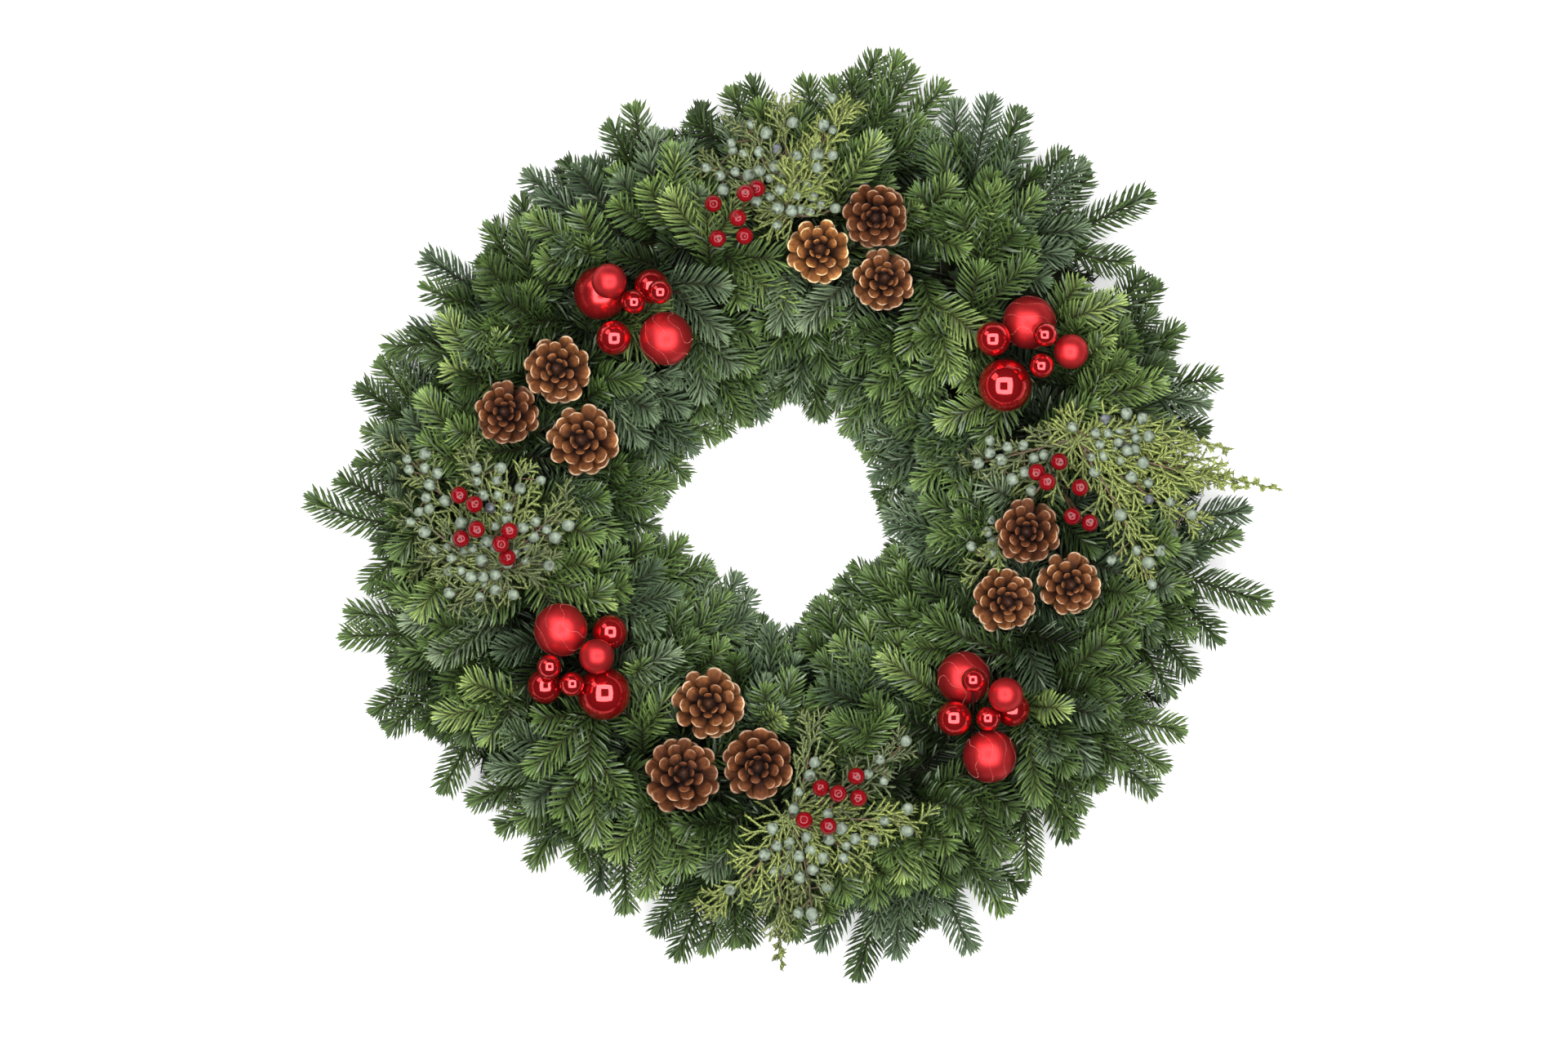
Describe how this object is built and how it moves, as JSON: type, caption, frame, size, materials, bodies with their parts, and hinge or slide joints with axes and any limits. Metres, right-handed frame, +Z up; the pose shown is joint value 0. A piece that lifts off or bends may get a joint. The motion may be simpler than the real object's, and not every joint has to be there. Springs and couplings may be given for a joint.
{
  "type": "christmas bauble wreath",
  "caption": "Round evergreen wreath of fir sprays on a clamp ring, with pine cones, red baubles, berry sprigs and juniper round an open middle.",
  "frame": {"origin": "middle of the underside of the wreath, on the surface that it lies on", "axes": "+Z up, out of the side that is looked at; +Y towards the top of the wreath as it would hang; +X to the right in that view"},
  "size_m": [0.7148, 0.6878, 0.1048],
  "materials": {
    "ring_steel": "green enamelled steel wire, satin",
    "fir": "fresh noble fir needles on brown twigs, soft waxy sheen",
    "pine_cone": "dry open scales, rough, with pale rims",
    "bauble_glossy": "smooth mirror-like red lacquer",
    "bauble_matte": "satin to matte red, some with fine wavy glitter lines",
    "berry": "glossy deep red with a dark dimple",
    "juniper": "yellow-green scale leaves on thin brown twigs, bloomed blue-green berries"
  },
  "bodies": {
    "root": {"ring_frame": "ring_steel", "fir_bunch_01": "fir", "fir_bunch_02": "fir", "fir_bunch_03": "fir", "fir_bunch_04": "fir", "fir_bunch_05": "fir", "fir_bunch_06": "fir", "fir_bunch_07": "fir", "fir_bunch_08": "fir", "fir_bunch_09": "fir", "fir_bunch_10": "fir", "fir_bunch_11": "fir", "fir_bunch_12": "fir", "cone_1a": "pine_cone", "cone_1b": "pine_cone", "cone_1c": "pine_cone", "cone_2a": "pine_cone", "cone_2b": "pine_cone", "cone_2c": "pine_cone", "cone_3a": "pine_cone", "cone_3b": "pine_cone", "cone_3c": "pine_cone", "cone_4a": "pine_cone", "cone_4b": "pine_cone", "cone_4c": "pine_cone", "bauble_a1": "bauble_matte", "bauble_a2": "bauble_matte", "bauble_a3": "bauble_glossy", "bauble_a4": "bauble_glossy", "bauble_a5": "bauble_glossy", "bauble_a6": "bauble_glossy", "bauble_a7": "bauble_matte", "bauble_b1": "bauble_matte", "bauble_b2": "bauble_glossy", "bauble_b3": "bauble_glossy", "bauble_b4": "bauble_matte", "bauble_b5": "bauble_glossy", "bauble_b6": "bauble_glossy", "bauble_c1": "bauble_matte", "bauble_c2": "bauble_glossy", "bauble_c3": "bauble_matte", "bauble_c4": "bauble_glossy", "bauble_c5": "bauble_glossy", "bauble_c6": "bauble_glossy", "bauble_c7": "bauble_glossy", "bauble_d1": "bauble_matte", "bauble_d2": "bauble_glossy", "bauble_d3": "bauble_matte", "bauble_d4": "bauble_glossy", "bauble_d5": "bauble_glossy", "bauble_d6": "bauble_glossy", "bauble_d7": "bauble_matte", "berry_sprig_1": "berry", "berry_sprig_2": "berry", "berry_sprig_3": "berry", "berry_sprig_4": "berry", "juniper_1": "juniper", "juniper_2": "juniper", "juniper_3": "juniper", "juniper_4": "juniper"}
  },
  "joints": []
}
